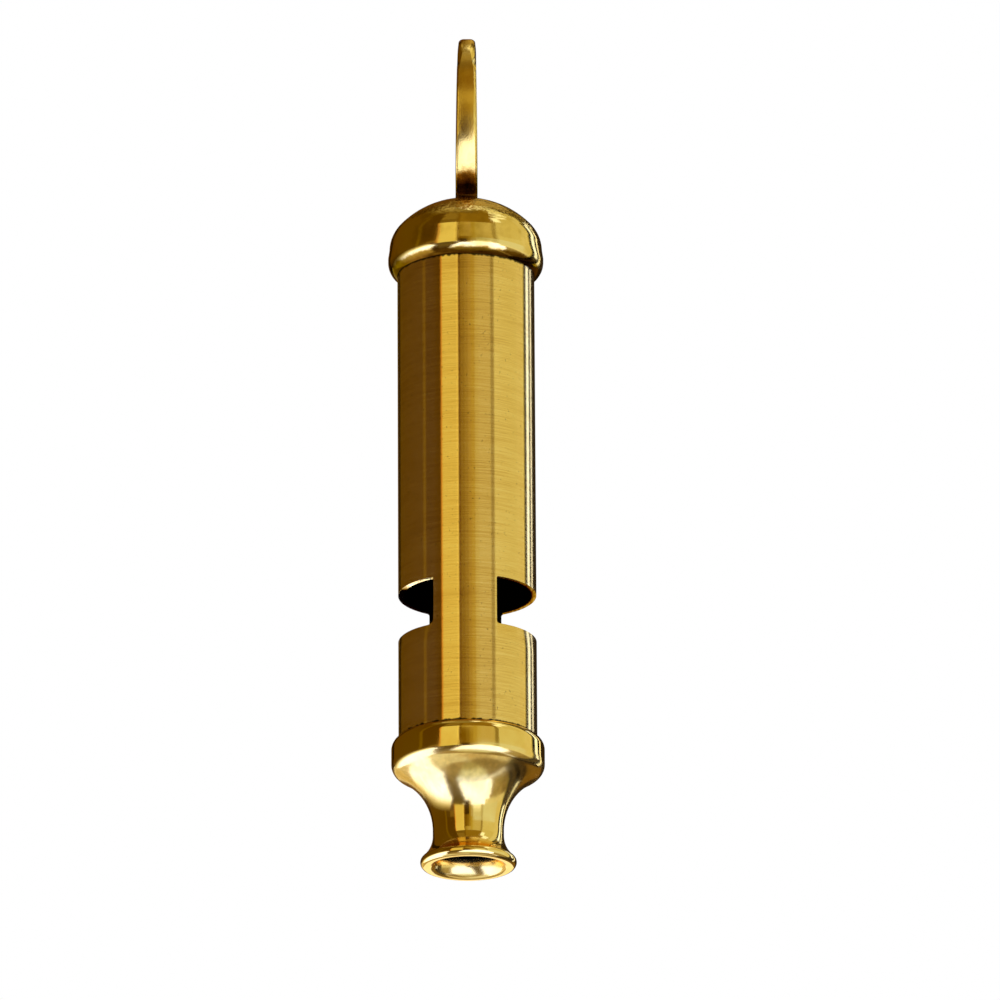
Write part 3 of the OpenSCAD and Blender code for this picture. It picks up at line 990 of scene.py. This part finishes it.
# %% The camera's stand and the gold wall, which grows lighter to the right
GOLD_FROM = 8.6
STRIPS_FROM = 114.4
OVERHEAD = 75
UPPER_GOLD = (0.29, 0.17, 0.01)
hang("board_near", [
    (STAND, 3.6, -20, 5, (0.06, 0.03, 0.0)),
    (STAND, -2.4, 5, 19, (0.21, 0.11, 0.0)),
    (-2.4, 3.6, 5, 19, (0.27, 0.16, 0.01)),
    (3.6, GOLD_FROM, FOOT, 19, (0.40, 0.26, 0.02)),
    (STAND, -2.4, 19, 33, (0.42, 0.29, 0.04)),
    (-2.4, 3.6, 19, 33, (0.50, 0.36, 0.07)),
    (3.6, GOLD_FROM, 19, 33, (0.55, 0.40, 0.10)),
    (STAND, 48, 33, WALL_TOP, UPPER_GOLD),
    (30, 48, WALL_TOP, OVERHEAD, UPPER_GOLD)])
hang("board_gold", [
    (GOLD_FROM, 14.6, 8, 33, (0.52, 0.38, 0.05)),
    (14.6, 20.6, 14, 33, (0.60, 0.48, 0.12)),
    (14.6, 20.6, 8, 14, (0.66, 0.60, 0.28)),
    (20.6, 42, 14, 33, (0.62, 0.50, 0.15)),
    (20.6, 42, 8, 14, (0.74, 0.74, 0.46)),
    (GOLD_FROM, 16, FOOT, 8, (0.55, 0.46, 0.18)),
    (16, 40, FOOT, -6, (1.2, 1.2, 0.9)),
    (16, 40, -6, 0, (0.9, 0.88, 0.55)),
    (16, 40, 0, 8, (0.75, 0.72, 0.40)),
    (40, 42, FOOT, 8, (0.60, 0.52, 0.22)),
    (42, 48, 14, 33, (0.32, 0.24, 0.05)),
    (42, 48, FOOT, 14, (0.60, 0.56, 0.28)),
    (48, 95, 14, 26, (0.75, 0.67, 0.26)),
    (48, 95, FOOT, 14, (0.80, 0.80, 0.48)),
    (95, 109.4, FOOT, WALL_TOP, (0.78, 0.70, 0.30)),
    (109.4, 112, -20, WALL_TOP, (1.0, 0.88, 0.35)),
    (112, STRIPS_FROM, -40, WALL_TOP, (0.40, 0.35, 0.10)),
    (48, 62, 26, 38, (0.72, 0.62, 0.22)),
    (62, 95, 26, 50, (0.70, 0.60, 0.20)),
    (48, 62, 52, 64, (0.35, 0.22, 0.02)),
    (85, 95, 50, WALL_TOP, (0.60, 0.48, 0.12)),
    (48, 78, 64, OVERHEAD, (0.40, 0.28, 0.05))])

# %% The slanting streak over the gold wall, which the dome mirrors
STREAK = (1.3, 1.35, 1.0)
hang("board_streak", [
    (48, 62, 38, 52, STREAK),
    (62, 78, 50, 64, STREAK),
    (78, 85, 50, WALL_TOP, STREAK),
    (78, STRIPS_FROM, WALL_TOP, OVERHEAD, (1.1, 1.05, 0.6))])

# %% The far right, where dark and white strips take turns
STRIPS_LOW = -55
STRIPS_TOP = 40
OVER_STRIPS = (0.30, 0.22, 0.05)
UNDER_STRIPS = (0.10, 0.07, 0.03)
NEARLY_BLACK = (0.03, 0.02, 0.01)
hang("board_right", [
    (STRIPS_FROM, 121.6, STRIPS_LOW, OVERHEAD, (0.0, 0.0, 0.01)),
    (121.6, 129.6, LEVEL, STRIPS_TOP, (1.6, 1.8, 2.1)),
    (121.6, 129.6, STRIPS_TOP, OVERHEAD, OVER_STRIPS),
    (121.6, 129.6, STRIPS_LOW, LEVEL, UNDER_STRIPS),
    (129.6, 137.2, STRIPS_LOW, OVERHEAD, (0.0, 0.0, 0.0)),
    (137.2, 141.4, -20, STRIPS_TOP, (1.8, 1.9, 1.9)),
    (137.2, 141.4, STRIPS_TOP, OVERHEAD, OVER_STRIPS),
    (137.2, 141.4, STRIPS_LOW, -20, UNDER_STRIPS),
    (141.4, 146.6, STRIPS_LOW, OVERHEAD, NEARLY_BLACK),
    (146.6, 180, -6, STRIPS_TOP, NEARLY_BLACK),
    (146.6, 168, -58, -6, (0.22, 0.13, 0.02)),
    (146.6, 180, STRIPS_TOP, OVERHEAD, (0.55, 0.45, 0.20))])

# %% The ceiling over them
ZENITH = 89
DIM_CEILING = (0.25, 0.18, 0.04)
hang("board_ceiling", [
    (-180, 30, WALL_TOP, 70, (0.20, 0.13, 0.02)),
    (-150, -100, 70, 80, (0.60, 0.50, 0.22)),
    (-100, 30, 70, 80, (0.40, 0.30, 0.08)),
    (-180, -150, 70, 80, (0.22, 0.15, 0.03)),
    (-180, 40, 80, ZENITH, DIM_CEILING),
    (40, 160, 80, ZENITH, (1.6, 1.6, 1.3)),
    (160, 180, 80, ZENITH, DIM_CEILING),
    (30, 180, OVERHEAD, 80, (0.42, 0.33, 0.09))])

# %% The lower boards on the left and behind, where white sets in step by step
WHITE = (2.0, 2.1, 2.6)
BEHIND = (2.0, 2.0, 2.2)
BUFF = (0.75, 0.62, 0.32)
BROWN = (0.16, 0.09, 0.02)
LEFT_FROM = -145
GROUND = -58
lower_left = [
    (LEFT_FROM, -58, -5, LEVEL, (0.25, 0.18, 0.05)),
    (LEFT_FROM, -56, -8, -5, (0.45, 0.36, 0.15)),
    (LEFT_FROM, -54, -11, -8, (0.75, 0.66, 0.38)),
    (LEFT_FROM, -52, -14, -11, (1.1, 1.05, 0.8)),
    (LEFT_FROM, -50, -18, -14, (1.5, 1.5, 1.5)),
    (LEFT_FROM, -48, -26, -18, WHITE),
    (-180, -165, -30, -10, BEHIND),
    (-180, -165, GROUND, -30, BUFF),
    (-165, LEFT_FROM, GROUND, -6, BUFF),
    (165, 180, -30, -10, BEHIND),
    (168, 180, GROUND, -30, BUFF),
    (LEFT_FROM, -55, -34, -26, WHITE),
    (LEFT_FROM, -60, -42, -34, WHITE),
    (LEFT_FROM, -66, -50, -42, WHITE),
    (LEFT_FROM, -74, GROUND, -50, WHITE),
    (-58, TAN_FROM, -5, LEVEL, BROWN),
    (-56, TAN_FROM, -8, -5, BROWN),
    (-54, TAN_FROM, -11, -8, BROWN),
    (-52, TAN_FROM, -14, -11, BROWN)]
print("the lower left has", len(lower_left), "boards")

# %% The dark board beside the viewer and the white one in front
PALE = (1.0, 1.1, 1.25)
AMBER = (0.42, 0.33, 0.12)
lower_front = [
    (-50, -8, -18, -14, SHADE),
    (-48, -10, -26, -18, SHADE),
    (-55, -14, -34, -26, (0.15, 0.10, 0.02)),
    (-60, -20, -42, -34, (0.16, 0.11, 0.03)),
    (-66, -26, -50, -42, (0.20, 0.14, 0.04)),
    (-74, -34, GROUND, -50, (0.28, 0.20, 0.07)),
    (4, 10, -20, FOOT, (0.70, 0.62, 0.35)),
    (10, 52, -20, FOOT, WHITE),
    (52, 62, -20, FOOT, (0.95, 0.90, 0.55)),
    (-8, 64, -26, -20, WHITE),
    (-14, 68, -34, -26, WHITE),
    (-20, 70, -42, -34, WHITE),
    (-26, 70, -50, -42, WHITE),
    (-34, -15, GROUND, -50, PALE),
    (64, 100, -26, -20, AMBER),
    (68, 100, -34, -26, AMBER),
    (70, 100, -50, -34, AMBER),
    (62, STRIPS_FROM, -20, FOOT, (0.85, 0.80, 0.45)),
    (100, STRIPS_FROM, -50, -20, (0.30, 0.22, 0.08))]
hang("board_low", lower_left + lower_front)

# %% What lies under the whistle
NADIR = -89
hang("board_under", [
    (-180, -90, NADIR, GROUND, (0.90, 0.85, 0.60)),
    (-90, -28, NADIR, GROUND, (0.40, 0.30, 0.12)),
    (-28, 62, NADIR, -72, (0.52, 0.46, 0.20)),
    (-28, 62, -72, GROUND, (0.80, 0.80, 0.55)),
    (-15, 64, GROUND, -50, PALE),
    (62, 130, NADIR, STRIPS_LOW, (0.32, 0.24, 0.09)),
    (130, 180, NADIR, -70, (0.60, 0.50, 0.28)),
    (130, 180, -70, STRIPS_LOW, (0.90, 0.80, 0.50))])

# %% [markdown]
# ## The world, the floor and the camera
# The white world at strength 1 is both the background and the soft light, so a colour renders
# about as it is written. The photograph looks up at the whistle from about 19 degrees below, so
# the pale floor lies below the camera, where it still shows in views from above. Reflections leave
# the floor out, because the boards already say what the metal mirrors below it.

# %% World
world = bpy.data.worlds.new("white room")
bpy.context.scene.world = world
world.use_nodes = True
backdrop = world.node_tree.nodes["Background"]
backdrop.inputs["Color"].default_value = (1, 1, 1, 1)
backdrop.inputs["Strength"].default_value = 1.0
print("the world is", world.name)

# %% Floor
FLOOR_Z = -1.15
FLOOR_SIZE = 40
FLOOR_GREY = (0.93, 0.93, 0.93)
bm = bmesh.new()
bmesh.ops.create_grid(bm, x_segments=1, y_segments=1, size=FLOOR_SIZE)
bmesh.ops.translate(bm, vec=(0, 0, FLOOR_Z), verts=bm.verts)
floor = to_object(bm, "floor")
paint = bpy.data.materials.new("floor paint")
paint.use_nodes = True
painted = paint.node_tree.nodes["Principled BSDF"]
painted.inputs["Base Color"].default_value = (*FLOOR_GREY, 1)
painted.inputs["Roughness"].default_value = 0.9
floor.data.materials.append(paint)
floor.visible_glossy = False

# %% [markdown]
# A long lens far away keeps the tube's sides nearly parallel. The distance, the height and the
# angle were solved from the outline of the lip, the cap and the loop in the photograph. The camera
# stands a little to the right of the axis, because the whistle stands left of the picture's centre,
# and it is rolled a third of a degree, as the whistle leans.

# %% Camera
AZIMUTH = math.radians(0.5)
ELEVATION = math.radians(-19.1)
DISTANCE = 1.1
AIM_Z = 0.03768
ASIDE = 0.003246
ROLL = math.radians(-0.323)
FOCAL = 404.5
SENSOR = 36
back = Vector((
    math.sin(AZIMUTH) * math.cos(ELEVATION),
    -math.cos(AZIMUTH) * math.cos(ELEVATION),
    math.sin(ELEVATION)))
aside = Vector((math.cos(AZIMUTH), math.sin(AZIMUTH), 0))
lens = bpy.data.cameras.new("camera")
lens.sensor_width = SENSOR
lens.lens = FOCAL
lens.clip_start = 0.01
camera = bpy.data.objects.new("camera", lens)
bpy.context.scene.collection.objects.link(camera)
camera.location = aside * ASIDE + Vector((0, 0, AIM_Z)) + back * DISTANCE
camera.rotation_mode = "QUATERNION"
camera.rotation_quaternion = (-back).to_track_quat("-Z", "Y") @ Quaternion((0, 0, 1), ROLL)
bpy.context.scene.camera = camera
bpy.context.scene.view_settings.view_transform = "Standard"
print("the camera stands", DISTANCE, "m away, with a", FOCAL, "mm lens")
